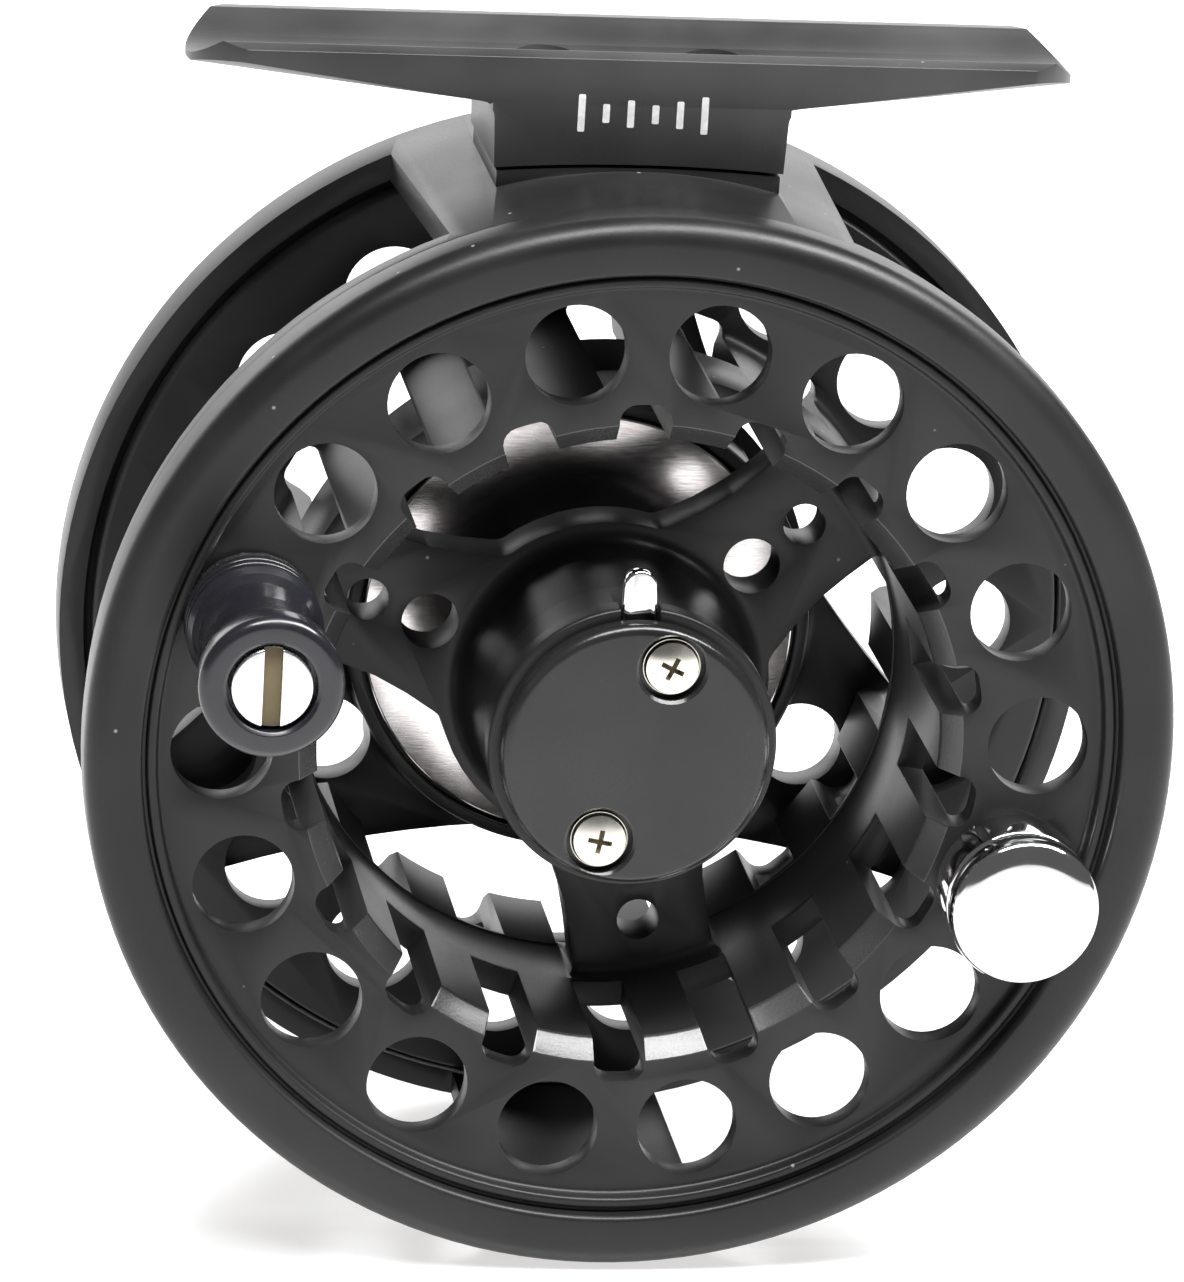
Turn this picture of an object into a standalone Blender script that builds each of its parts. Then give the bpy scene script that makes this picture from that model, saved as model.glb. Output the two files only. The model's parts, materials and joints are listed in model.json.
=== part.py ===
"""Fly reel with a disc drag, a quick-release spool and a saddle foot.

Shapes are drawn in millimetres in the reel's own space: x to the right, depth from the plane
of the spool's front rim towards the drag knob, z up from the spindle's axis. The empty
"spindle_axis" carries that space to its place under the foot, so that the origin is the middle
of the foot's seat, +Z points into the rod and -Y is the handle side.
"""

from math import acos, asin, atan2, cos, degrees, pi, radians, sin, tan

import bmesh
import bpy
from mathutils import Matrix, Vector

MM = 0.001
UPRIGHT = Matrix.Rotation(radians(90.0), 4, "X")        # depth axis to +Z
ALONG_X = Matrix.Rotation(radians(-90.0), 4, "Z")       # depth axis to +X

# ---- driving dimensions, in millimetres ----------------------------------------------------
SEAT_HEIGHT = 43.5          # spindle axis to the floor of the foot's saddle
FOOT_DEPTH = 20.8           # front rim plane to the middle of the foot

RIM_RADIUS = 37.5
FRONT_FACE = 1.2            # depth of the front flange's face
FLANGE_THICKNESS = 2.0
REAR_FLANGE_DEPTH = 30.0
REAR_FLANGE_RADIUS = 34.9
ARBOR_INNER = 21.5
ARBOR_OUTER = 23.3
WEB_DEPTH = 16.0            # front of the three webs
WEB_THICKNESS = 4.0
WEB_HALF_WIDTH = 5.0
WEB_HOLES = [(2.0, 13.2), (1.5, 17.9)]      # radius, distance from the axis
SLOT_ENDS = (13.7, 22.0)    # depths where the front slots end and the rear slots start
SECTION_GAP = 0.3           # between the sections of the spool
HUB_RADIUS = 9.4
HUB_FLARE = 11.7            # where the hub runs out into the webs
HUB_BORE = 4.2
HUB_END = 24.0
HEX_SOCKET = (5.5, 4.5)     # corner radius and length of the socket in the hub's rear end

HOLE_COUNT = 18
HOLE_CIRCLE = 28.1
HOLE_RADIUS = 3.5
PATTERN_TURN = 1.1          # degrees that the spool stands turned from the frame
HANDLE_ANGLE = 160.0 + PATTERN_TURN
WEIGHT_ANGLE = -20.0 + PATTERN_TURN
WEB_ANGLES = [40.0 + PATTERN_TURN + 120.0 * k for k in range(3)]

FRAME_INNER = 35.2
FRAME_OUTER = 37.2
FRONT_RING = (4.2, 6.2)     # depths of the frame's front ring
BACK_RING_DEPTH = 31.0
PLATE = (33.4, 36.3)        # depths of the three-armed back plate
PLATE_SIDE = 16.2           # axis to the middle of each side of the back plate
PLATE_SIDE_RADIUS = 80.0    # hollow curve of each side
PLATE_OPENING = 34.0        # outer radius of the openings between the arms
ARM_HOLE_CIRCLE = 20.0
ARM_HOLE_RADIUS = 3.1
TOP_BAND_HALF = (13.8, 15.1)    # half width at the front ring and at the back ring
BOTTOM_BAND_HALF = 7.2
CUP_OUTER = 16.8
CUP_INNER = 15.0
CUP_MOUTH = 29.7
CUP_LEDGE = (15.85, 30.65)  # radius and depth of the seat for the drag cover disc
CUP_FLOOR = 35.2
BOSS_RADIUS = 17.5
BOSS_END = 38.6

SPINDLE_RADIUS = 2.5
SPINDLE_START = 1.15
SPINDLE_END = 44.5
LATCH_GROOVE = (1.8, 3.3)
CLIP_GROOVE = (18.9, 19.5)
SPINDLE_COLLAR = (4.0, 34.3, 35.0)      # radius, and depths of its two faces
PIN_CIRCLE = 9.0            # thrust pins of the pressure plate
CLICK_CIRCLE = 13.2         # ball and spring of the drag knob's click

WASHER_RADII = (7.2, 14.4)  # the two friction washers
SPRING_RADII = (5.2, 10.8)  # the thrust washer and the spring washers
SPRING_RISE = 0.3
SLEEVE_RADIUS = 4.15
SLEEVE_HEX = 5.2            # corner radius of the hexagon that drives the hub

DRAG_KNOB_RADIUS = 14.5
KNOB_START = 39.0
KNOB_END = 46.8
GRIP_COUNT = 10             # hollows round the drag knob

FOOT_HALF_LENGTH = 30.8
FOOT_HALF_LENGTH_EDGE = 27.2
FOOT_WIDTH = 13.5
FOOT_TOP = 45.3
SADDLE_RADIUS = 9.0
POST_HALF = 10.0
WING_ROOT = (10.2, 41.8)    # where the underside of a wing meets the post
WING_TIP = 43.1             # height of the underside at the tip
WING_SLOPES = (0.136, -0.30)    # rise along the wing, and fall inwards, of the chamfer under its edges
POST_BOTTOM = (37.7, 37.3)      # height under the middle and under the sides
FOOT_SCREW_X = 5.9
FOOT_BORE = [(0, 30.0), (1.7, 30.0), (1.7, 40.7), (2.6, 41.6), (2.6, 48.0), (0, 48.0)]

COVER_RADIUS = 9.25
COVER_SCREW_CIRCLE = 6.56
COVER_SCREW_ANGLES = {"cover_screw_upper": 71.0, "cover_screw_lower": 251.0}

LATCH_PLATE = (1.95, 3.15)  # depths of its faces
LATCH_HALF = 3.8
LATCH_FOOT = -4.0           # lower edge of the plate
LATCH_SHOULDER = 4.3        # where the plate steps in to the tab
TAB_HALF = 1.15
TAB_TOP = 11.2
POCKET_PLAY = 0.4           # room at the sides of the latch in its pocket
POCKET_DEPTH = 3.75
SPRING_X = 1.3              # middle of the latch's spring

HANDLE_LENGTH = 15.5
HANDLE_SLEEVE_RADII = (1.5, 2.1)
WEIGHT_RADIUS = 5.2

# facets round a turned shape
COARSE = 10
SMALL = 16
MEDIUM = 18
BROAD = 30
FINE = 36


# ---- drawing tools -------------------------------------------------------------------------
def polar(radius, degrees):
    return (radius * cos(radians(degrees)), radius * sin(radians(degrees)))


def add_turned(bm, profile, segments, place=Matrix(), start=0.0):
    """Turn a closed outline of (radius, depth) points about the depth axis."""
    rings = []
    for radius, depth in profile:
        if radius < 1e-6:
            rings.append([bm.verts.new(place @ Vector((0.0, depth, 0.0)))])
            continue
        ring = []
        for k in range(segments):
            x, z = polar(radius, start + 360.0 * k / segments)
            ring.append(bm.verts.new(place @ Vector((x, depth, z))))
        rings.append(ring)
    for ring, following in zip(rings, rings[1:] + rings[:1]):
        if len(ring) == 1 and len(following) == 1:
            continue
        for k in range(segments):
            n = (k + 1) % segments
            if len(ring) == 1:
                corners = [ring[0], following[n], following[k]]
            elif len(following) == 1:
                corners = [ring[k], ring[n], following[0]]
            else:
                corners = [ring[k], ring[n], following[n], following[k]]
            bm.faces.new(corners)


def add_prism(bm, outline, start, end, end_outline=None, place=Matrix()):
    """Extrude an (x, z) outline along the depth, to the same or to another outline."""
    near = [bm.verts.new(place @ Vector((x, start, z))) for x, z in outline]
    far = [bm.verts.new(place @ Vector((x, end, z))) for x, z in (end_outline or outline)]
    bm.faces.new(near)
    bm.faces.new(list(reversed(far)))
    for k in range(len(near)):
        n = (k + 1) % len(near)
        bm.faces.new([near[n], near[k], far[k], far[n]])


def add_rod(bm, radius, start, end, segments, x=0.0, z=0.0):
    """A solid round rod along the depth."""
    place = Matrix.Translation((x, 0.0, z))
    add_turned(bm, [(0, start), (radius, start), (radius, end), (0, end)], segments, place)


def add_slot(bm, half_width, start, end):
    """A straight screwdriver slot across the depth axis, longer than any screw head."""
    reach = 4.0
    outline = [(-half_width, -reach), (half_width, -reach), (half_width, reach), (-half_width, reach)]
    add_prism(bm, outline, start, end)


def add_coil(bm, radius, wire, start, end, turns, place):
    """A helical spring wire along the depth axis."""
    steps = 8
    sides = 4
    count = turns * steps
    loops = []
    for k in range(count + 1):
        angle = 2.0 * pi * k / steps
        depth = start + (end - start) * k / count
        loop = []
        for s in range(sides):
            across = radius + wire * cos(2.0 * pi * s / sides)
            along = depth + wire * sin(2.0 * pi * s / sides)
            point = Vector((across * cos(angle), along, across * sin(angle)))
            loop.append(bm.verts.new(place @ point))
        loops.append(loop)
    for loop, following in zip(loops, loops[1:]):
        for s in range(sides):
            n = (s + 1) % sides
            bm.faces.new([loop[s], loop[n], following[n], following[s]])
    bm.faces.new(loops[0])
    bm.faces.new(list(reversed(loops[-1])))


def arc(center, radius, start, end, steps):
    """Points on an arc, both ends included; the angles are in degrees."""
    points = []
    for k in range(steps + 1):
        x, z = polar(radius, start + (end - start) * k / steps)
        points.append((center[0] + x, center[1] + z))
    return points


def rounded(outline, radii, steps=3):
    """Replace the corners named in radii, {index: radius}, by arcs."""
    result = []
    count = len(outline)
    for k, corner in enumerate(outline):
        if k not in radii:
            result.append(corner)
            continue
        here = Vector(corner)
        before = (Vector(outline[k - 1]) - here).normalized()
        after = (Vector(outline[(k + 1) % count]) - here).normalized()
        half = before.angle(after) / 2.0
        reach = radii[k] / tan(half)
        middle = here + (before + after).normalized() * (radii[k] / sin(half))
        first = here + before * reach - middle
        last = here + after * reach - middle
        sweep = first.angle_signed(last)
        begin = atan2(first.y, first.x)
        for s in range(steps + 1):
            angle = begin - sweep * s / steps
            result.append((middle.x + radii[k] * cos(angle), middle.y + radii[k] * sin(angle)))
    return result


def make_object(name, bm, look=None, parent=None):
    """Turn a bmesh drawn in millimetres into an object under the given empty."""
    bmesh.ops.recalc_face_normals(bm, faces=bm.faces)
    bmesh.ops.scale(bm, vec=(MM, MM, MM), verts=bm.verts)
    mesh = bpy.data.meshes.new(name)
    bm.to_mesh(mesh)
    bm.free()
    mesh.shade_smooth()
    mesh.set_sharp_from_angle(angle=radians(30.0))
    if look is not None:
        mesh.materials.append(look)
    thing = bpy.data.objects.new(name, mesh)
    bpy.context.scene.collection.objects.link(thing)
    thing.parent = parent
    return thing


def apply_boolean(thing, tool_bm, operation="DIFFERENCE"):
    """Cut, join or intersect an object with the shapes in tool_bm."""
    tool = make_object(f"{thing.name}_tool_{len(thing.modifiers)}", tool_bm, None, thing.parent)
    tool.hide_render = True
    tool.display_type = "WIRE"
    modifier = thing.modifiers.new(operation.title(), "BOOLEAN")
    modifier.operation = operation
    modifier.object = tool


def new_empty(name, location, parent=None):
    empty = bpy.data.objects.new(name, None)
    bpy.context.scene.collection.objects.link(empty)
    empty.location = [value * MM for value in location]
    empty.parent = parent
    return empty


def new_look(name, colour, roughness, metallic):
    look = bpy.data.materials.new(name)
    look.use_nodes = True
    shader = look.node_tree.nodes["Principled BSDF"]
    shader.inputs["Base Color"].default_value = (*colour, 1.0)
    shader.inputs["Roughness"].default_value = roughness
    shader.inputs["Metallic"].default_value = metallic
    return look


def turned_object(name, profile, look, parent, segments=MEDIUM):
    bm = bmesh.new()
    add_turned(bm, profile, segments)
    return make_object(name, bm, look, parent)


def washer_profile(inner, outer, start, end):
    return [(inner, start), (outer, start), (outer, end), (inner, end)]


# ---- the frame and its foot ----------------------------------------------------------------
def frame_profile():
    """Front ring, side wall, back ring, back plate, drag cup and rear boss, all in one turn."""
    return [
        (FRAME_INNER, FRONT_RING[0]), (FRAME_OUTER - 0.4, FRONT_RING[0]),
        (FRAME_OUTER, FRONT_RING[0] + 0.4), (FRAME_OUTER, PLATE[1] - 0.8),
        (FRAME_OUTER - 0.8, PLATE[1]), (BOSS_RADIUS + 0.8, PLATE[1]),
        (BOSS_RADIUS, PLATE[1] + 0.8), (BOSS_RADIUS, BOSS_END - 0.5),
        (BOSS_RADIUS - 0.5, BOSS_END), (SPINDLE_RADIUS + 0.15, BOSS_END),
        (SPINDLE_RADIUS + 0.15, CUP_FLOOR), (CUP_INNER, CUP_FLOOR), (CUP_INNER, CUP_LEDGE[1]),
        CUP_LEDGE, (CUP_LEDGE[0], CUP_MOUTH), (CUP_OUTER - 0.3, CUP_MOUTH),
        (CUP_OUTER, CUP_MOUTH + 0.3), (CUP_OUTER, PLATE[0]), (FRAME_INNER, PLATE[0]),
    ]


def plate_opening(angle, steps=6):
    """Opening between two arms, bounded by a hollow side and by the back ring."""
    reach = PLATE_SIDE + PLATE_SIDE_RADIUS
    cosine = (reach**2 + PLATE_SIDE_RADIUS**2 - PLATE_OPENING**2) / (2 * reach * PLATE_SIDE_RADIUS)
    half_side = degrees(acos(cosine))
    x, z = polar(PLATE_SIDE_RADIUS, 180.0 - half_side)
    corner_angle = degrees(atan2(z, reach + x))
    side = arc((reach, 0.0), PLATE_SIDE_RADIUS, 180.0 - half_side, 180.0 + half_side, steps)
    ring = arc((0.0, 0.0), PLATE_OPENING, -corner_angle, corner_angle, 2 * steps)
    outline = rounded(side + ring[1:-1], {0: 1.6, steps: 1.6})
    turn = Matrix.Rotation(radians(angle), 2)
    return [tuple(turn @ Vector(point)) for point in outline]


def side_opening(side, top_half):
    """Outline of what is cut from the side wall, clear of the drag cup."""
    outside = 45.0
    outline = [(top_half, outside), (outside, outside), (outside, -outside),
               (BOTTOM_BAND_HALF, -outside), (BOTTOM_BAND_HALF, -30.0), (20.0, -25.0), (20.0, 25.0),
               (top_half, 30.0)]
    return [(side * x, z) for x, z in outline]


def shallow_arch(half, middle, sides, steps=4):
    """Points from -half to half that rise from sides to middle."""
    points = []
    for k in range(-steps, steps + 1):
        t = k / steps
        points.append((half * t, middle - (middle - sides) * t * t))
    return points


def build_frame(look, parent):
    bm = bmesh.new()
    add_turned(bm, frame_profile(), FINE)
    frame = make_object("frame", bm, look, parent)

    pad = bmesh.new()
    half = POST_HALF - 0.2
    top = shallow_arch(half, POST_BOTTOM[0] - 0.25, POST_BOTTOM[1] - 0.25)
    start = FOOT_DEPTH - FOOT_WIDTH / 2.0 + 0.1
    add_prism(pad, top + [(half, 35.75), (0.1 - half, 35.75)], start, start + FOOT_WIDTH - 0.2)
    apply_boolean(frame, pad, "UNION")

    cut = bmesh.new()
    for side in (-1, 1):
        add_prism(cut, side_opening(side, TOP_BAND_HALF[0]), FRONT_RING[1], BACK_RING_DEPTH,
                  side_opening(side, TOP_BAND_HALF[1]))
        place = Matrix.Translation((side * FOOT_SCREW_X, FOOT_DEPTH, 0.0)) @ UPRIGHT
        add_turned(cut, [(0, 33.0), (1.5, 33.0), (1.5, 39.0), (0, 39.0)], COARSE, place)
    for k in range(3):
        arm = 90.0 + 120.0 * k
        add_prism(cut, plate_opening(arm + 60.0), PLATE[0] - 1.0, PLATE[1] + 1.0)
        x, z = polar(ARM_HOLE_CIRCLE, arm)
        add_rod(cut, ARM_HOLE_RADIUS, PLATE[0] - 1.0, BOSS_END + 1.0, MEDIUM, x, z)
        x, z = polar(PIN_CIRCLE, arm)
        add_rod(cut, 1.2, CUP_FLOOR - 1.0, BOSS_END + 1.0, COARSE, x, z)
    add_rod(cut, 0.95, BOSS_END - 2.6, BOSS_END + 1.0, COARSE, CLICK_CIRCLE)
    apply_boolean(frame, cut)


def foot_outline():
    """Front view of the foot: ramped wings on a post whose bottom follows the frame."""
    half = [(POST_HALF, POST_BOTTOM[1]), WING_ROOT, (FOOT_HALF_LENGTH, WING_TIP),
            (FOOT_HALF_LENGTH, FOOT_TOP)]
    bottom = shallow_arch(POST_HALF, *POST_BOTTOM)
    return bottom[:-1] + half + [(-x, z) for x, z in reversed(half[1:])]


def foot_plan():
    """Plan of the foot: straight sides and bowed ends."""
    half = FOOT_WIDTH / 2.0
    bow = FOOT_HALF_LENGTH - FOOT_HALF_LENGTH_EDGE
    radius = (half * half + bow * bow) / (2.0 * bow)
    sweep = degrees(asin(half / radius))
    end = arc((FOOT_HALF_LENGTH - radius, 0.0), radius, -sweep, sweep, 8)
    return end + [(-x, -z) for x, z in end]


def add_wing_chamfer(bm, side, way):
    """Slanted block under one long edge of a wing: nothing at the post, deepest at the tip."""
    rise, fall = WING_SLOPES
    rings = []
    for x in (WING_ROOT[0] + 0.1, FOOT_HALF_LENGTH + 2.0):
        ring = []
        for across in (-1.0, 6.0):
            top = WING_ROOT[1] + rise * (x - WING_ROOT[0]) + fall * across
            y = FOOT_DEPTH + way * (FOOT_WIDTH / 2.0 - across)
            ring += [bm.verts.new((side * x, y, z)) for z in (39.0, top)]
        rings.append([ring[0], ring[1], ring[3], ring[2]])
    root, tip = rings
    bm.faces.new(root)
    bm.faces.new(list(reversed(tip)))
    for k in range(4):
        n = (k + 1) % 4
        bm.faces.new([root[n], root[k], tip[k], tip[n]])


def build_foot(look, parent):
    start = FOOT_DEPTH - FOOT_WIDTH / 2.0
    bm = bmesh.new()
    add_prism(bm, foot_outline(), start, start + FOOT_WIDTH)
    foot = make_object("reel_foot", bm, look, parent)

    plan = bmesh.new()
    place = Matrix.Translation((0.0, FOOT_DEPTH, 0.0)) @ UPRIGHT
    add_prism(plan, foot_plan(), 30.0, 50.0, place=place)
    apply_boolean(foot, plan, "INTERSECT")

    chamfers = bmesh.new()
    for side in (-1, 1):
        for way in (-1, 1):
            add_wing_chamfer(chamfers, side, way)
    apply_boolean(foot, chamfers)

    facets = 28
    cut = bmesh.new()
    lying = Matrix.Translation((0.0, FOOT_DEPTH, SEAT_HEIGHT + SADDLE_RADIUS)) @ ALONG_X
    corner_radius = SADDLE_RADIUS / cos(pi / facets)
    reach = FOOT_HALF_LENGTH + 9.2
    add_turned(cut, [(0, -reach), (corner_radius, -reach), (corner_radius, reach), (0, reach)],
               facets, lying, 90.0 + 180.0 / facets)
    apply_boolean(foot, cut)

    bores = bmesh.new()
    for side in (-1, 1):
        place = Matrix.Translation((side * FOOT_SCREW_X, FOOT_DEPTH, 0.0)) @ UPRIGHT
        add_turned(bores, FOOT_BORE, SMALL, place)
    apply_boolean(foot, bores)


def build_foot_screws(look, parent):
    for name, side in (("foot_screw_left", -1), ("foot_screw_right", 1)):
        bm = bmesh.new()
        place = Matrix.Translation((side * FOOT_SCREW_X, FOOT_DEPTH, 0.0)) @ UPRIGHT
        add_turned(bm, [(0, 35.5), (1.3, 35.5), (1.3, 41.0), (2.3, 41.9), (2.3, 42.7), (0, 42.7)],
                   SMALL, place)
        screw = make_object(name, bm, look, parent)
        cut = bmesh.new()
        add_cross(cut, 1.3, 0.45, place, 42.0, 43.5)
        apply_boolean(screw, cut)


def add_cross(bm, reach, width, place, start, end):
    """A cross recess, from start to end along the depth axis of place."""
    w = width / 2.0
    outline = [(w, w), (reach, w), (reach, -w), (w, -w), (w, -reach), (-w, -reach),
               (-w, -w), (-reach, -w), (-reach, w), (-w, w), (-w, reach), (w, reach)]
    add_prism(bm, outline, start, end, place=place)


# ---- spindle and drag ----------------------------------------------------------------------
def build_spindle(look, parent):
    """Shaft with its latch groove, the clip in its second groove, and the nut behind the boss."""
    latch_start, latch_end = LATCH_GROOVE
    clip_start, clip_end = CLIP_GROOVE
    collar, collar_start, collar_end = SPINDLE_COLLAR
    tip = SPINDLE_RADIUS - 0.4
    profile = [
        (0, SPINDLE_START), (tip, SPINDLE_START), (SPINDLE_RADIUS, SPINDLE_START + 0.35),
        (SPINDLE_RADIUS, latch_start), (1.9, latch_start), (1.9, latch_end),
        (SPINDLE_RADIUS, latch_end), (SPINDLE_RADIUS, clip_start), (tip, clip_start),
        (tip, clip_end), (SPINDLE_RADIUS, clip_end), (SPINDLE_RADIUS, collar_start),
        (collar, collar_start), (collar, collar_end), (SPINDLE_RADIUS, collar_end),
        (SPINDLE_RADIUS, SPINDLE_END), (0, SPINDLE_END),
    ]
    turned_object("spindle", profile, look, parent)
    clip = washer_profile(tip + 0.1, 3.9, clip_start + 0.1, clip_end - 0.1)
    turned_object("spindle_clip", clip, look, parent, SMALL)
    nut = washer_profile(SPINDLE_RADIUS + 0.55, 4.6, BOSS_END + 0.2, 41.0)
    turned_object("spindle_nut", nut, look, parent, 6)


def build_drag_stack(steel, cork, parent):
    """The parts in the drag cup and behind it, front to back."""
    disc = washer_profile(6.9, CUP_LEDGE[0] - 0.2, CUP_MOUTH + 0.1, CUP_LEDGE[1] - 0.2)
    turned_object("drag_cover_disc", disc, steel, parent, BROAD)
    turned_object("friction_washer_front", washer_profile(*WASHER_RADII, 30.7, 31.3), cork, parent)
    turned_object("friction_washer_rear", washer_profile(*WASHER_RADII, 32.7, 33.3), cork, parent)
    plate = turned_object("pressure_plate", washer_profile(5.5, 14.5, 33.5, 34.2), steel, parent)
    pins = bmesh.new()
    for k in range(3):
        x, z = polar(PIN_CIRCLE, 90.0 + 120.0 * k)
        add_rod(pins, 1.0, 33.8, 39.1, COARSE, x, z)
    apply_boolean(plate, pins, "UNION")
    turned_object("thrust_washer", washer_profile(*SPRING_RADII, 39.3, 39.8), steel, parent)
    inner, outer = SPRING_RADII
    thickness = 0.4
    for name, start, rise in (("spring_washer_front", 39.95, SPRING_RISE),
                              ("spring_washer_rear", 41.1, -SPRING_RISE)):
        profile = [(inner, start + rise), (outer, start), (outer, start + thickness),
                   (inner, start + rise + thickness)]
        turned_object(name, profile, steel, parent)


def build_rotor(steel, parent):
    """Disc between the friction washers, on the one-way clutch that grips the drive sleeve."""
    profile = [(6.4, 31.0), (7.0, 31.0), (7.0, 31.5), (14.6, 31.5), (14.6, 32.5), (7.0, 32.5),
               (7.0, 33.3), (6.4, 33.3)]
    turned_object("drag_rotor", profile, steel, parent)
    turned_object("one_way_clutch", washer_profile(4.4, 6.3, 31.0, 33.3), steel, parent)


def build_drive_sleeve(look, parent):
    """Runs on the spindle; its hexagon drives the spool's hub."""
    tube = washer_profile(SPINDLE_RADIUS + 0.1, SLEEVE_RADIUS, 19.7, 34.1)
    sleeve = turned_object("drive_sleeve", tube, look, parent)
    hexagon = bmesh.new()
    add_turned(hexagon, washer_profile(3.4, SLEEVE_HEX, 20.5, 28.6), 6)
    apply_boolean(sleeve, hexagon, "UNION")


def build_knob(black, steel, parent):
    """Drag knob with its ring of grip hollows, and the nut that it screws along the spindle."""
    radius = DRAG_KNOB_RADIUS
    profile = [
        (radius - 1.3, KNOB_START), (radius - 0.5, KNOB_START + 0.2), (radius, KNOB_START + 1.0),
        (radius, KNOB_END - 1.6), (radius - 0.5, KNOB_END - 0.6), (radius - 1.7, KNOB_END),
        (5.2, KNOB_END), (4.6, KNOB_END - 0.6), (1.7, KNOB_END - 0.6), (1.7, KNOB_END - 1.9),
        (11.9, KNOB_END - 1.9), (11.9, KNOB_START),
    ]
    knob = turned_object("drag_knob", profile, black, parent, BROAD)
    cut = bmesh.new()
    for k in range(GRIP_COUNT):
        x, z = polar(radius + 1.1, 360.0 / GRIP_COUNT * k)
        add_rod(cut, 2.2, KNOB_START - 1.0, KNOB_END + 1.2, COARSE, x, z)
    apply_boolean(knob, cut)

    nut = turned_object("drag_nut", washer_profile(3.2, 10.6, 42.2, 44.2), steel, parent)
    notches = bmesh.new()
    for k in range(3):
        x, z = polar(11.0, 30.0 + 120.0 * k)
        add_rod(notches, 1.4, 41.0, 46.0, COARSE, x, z)
    apply_boolean(nut, notches)


def build_knob_screw(steel, parent):
    profile = [(0, 44.8), (1.4, 44.8), (1.4, 46.4), (3.4, 46.4), (3.4, 47.2), (2.9, 47.7), (0, 47.7)]
    screw = turned_object("knob_screw", profile, steel, parent)
    slot = bmesh.new()
    add_slot(slot, 0.4, 47.2, 48.5)
    apply_boolean(screw, slot)


def build_click(steel, parent):
    ball = bmesh.new()
    bmesh.ops.create_icosphere(ball, subdivisions=2, radius=0.8,
                               matrix=Matrix.Translation((CLICK_CIRCLE, 38.1, 0.0)))
    make_object("click_ball", ball, steel, parent)
    coil = bmesh.new()
    add_coil(coil, 0.5, 0.12, 36.2, 37.1, 2, Matrix.Translation((CLICK_CIRCLE, 0.0, 0.0)))
    make_object("click_spring", coil, steel, parent)


# ---- the spool -----------------------------------------------------------------------------
def front_flange_profile():
    """Holed face with the rolled rim round it."""
    back = FRONT_FACE + FLANGE_THICKNESS
    inner = ARBOR_OUTER + SECTION_GAP
    return [
        (inner, FRONT_FACE), (32.9, FRONT_FACE), (33.1, 0.45), (33.6, 0.35), (33.7, -0.3),
        (34.9, -0.85), (36.1, -0.95), (37.1, -0.5), (RIM_RADIUS, 0.4), (RIM_RADIUS, back),
        (RIM_RADIUS - 0.3, back + 0.4), (36.2, back + 0.4), (35.6, back), (inner, back),
    ]


def rear_flange_profile():
    rear = REAR_FLANGE_DEPTH
    end = rear + FLANGE_THICKNESS
    inner = ARBOR_OUTER + SECTION_GAP
    return [
        (inner, rear), (REAR_FLANGE_RADIUS, rear), (REAR_FLANGE_RADIUS, end - 0.4),
        (REAR_FLANGE_RADIUS - 0.4, end), (inner, end),
    ]


def arbor_profile():
    end = REAR_FLANGE_DEPTH + FLANGE_THICKNESS
    return [
        (ARBOR_INNER, 2.9), (ARBOR_INNER + 0.3, 2.0), (ARBOR_INNER + 1.3, FRONT_FACE),
        (ARBOR_OUTER, FRONT_FACE), (ARBOR_OUTER, end), (ARBOR_INNER + 0.6, end),
        (ARBOR_INNER, end - 0.6),
    ]


def hub_profile():
    """Barrel for the latch and the bearings, with the webs still a whole disc."""
    web_end = WEB_DEPTH + WEB_THICKNESS
    reach = ARBOR_INNER - SECTION_GAP
    return [
        (HUB_BORE, 3.8), (HUB_BORE, HUB_END), (HUB_RADIUS - 0.6, HUB_END),
        (HUB_RADIUS, HUB_END - 0.6), (HUB_RADIUS + 0.5, web_end + 0.8), (HUB_RADIUS + 1.6, web_end),
        (reach, web_end), (reach, WEB_DEPTH), (HUB_FLARE, WEB_DEPTH),
        (HUB_RADIUS + 1.2, WEB_DEPTH - 1.0), (HUB_RADIUS + 0.5, WEB_DEPTH - 3.0),
        (HUB_RADIUS, WEB_DEPTH - 7.0), (HUB_RADIUS, 3.4), (HUB_RADIUS + 0.5, 3.2),
        (HUB_RADIUS + 0.5, 1.5), (HUB_RADIUS + 0.2, FRONT_FACE), (4.6, FRONT_FACE), (4.6, 3.8),
    ]


def web_window(angle):
    """Window from the web at angle to the next one, with rounded corners."""
    following = angle + 120.0
    outer = ARBOR_INNER + 0.1
    inner_turn = degrees(asin(WEB_HALF_WIDTH / HUB_FLARE))
    outer_turn = degrees(asin(WEB_HALF_WIDTH / outer))
    near = arc((0.0, 0.0), HUB_FLARE, following - inner_turn, angle + inner_turn, 4)
    far = arc((0.0, 0.0), outer, angle + outer_turn, following - outer_turn, 7)
    outline = near + far
    corners = {0: 1.6, len(near) - 1: 1.6, len(near): 1.8, len(outline) - 1: 1.8}
    return rounded(outline, corners)


def slot_outline():
    """Cross-section of one arbor slot, pointing along +x, ended by a soft notch."""
    half = 1.8
    top = ARBOR_OUTER + 0.8
    outline = [(ARBOR_INNER - 1.0, -half), (top, -half), (top, half), (ARBOR_INNER - 1.0, half)]
    return rounded(outline, {1: 1.0, 2: 1.0}, 2)


def add_slots(bm, start, end):
    """Slots through the arbor wall, midway between the holes."""
    for k in range(HOLE_COUNT):
        angle = PATTERN_TURN + 360.0 / HOLE_COUNT * (k + 0.5)
        add_prism(bm, slot_outline(), start, end, place=Matrix.Rotation(radians(-angle), 4, "Y"))


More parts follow.
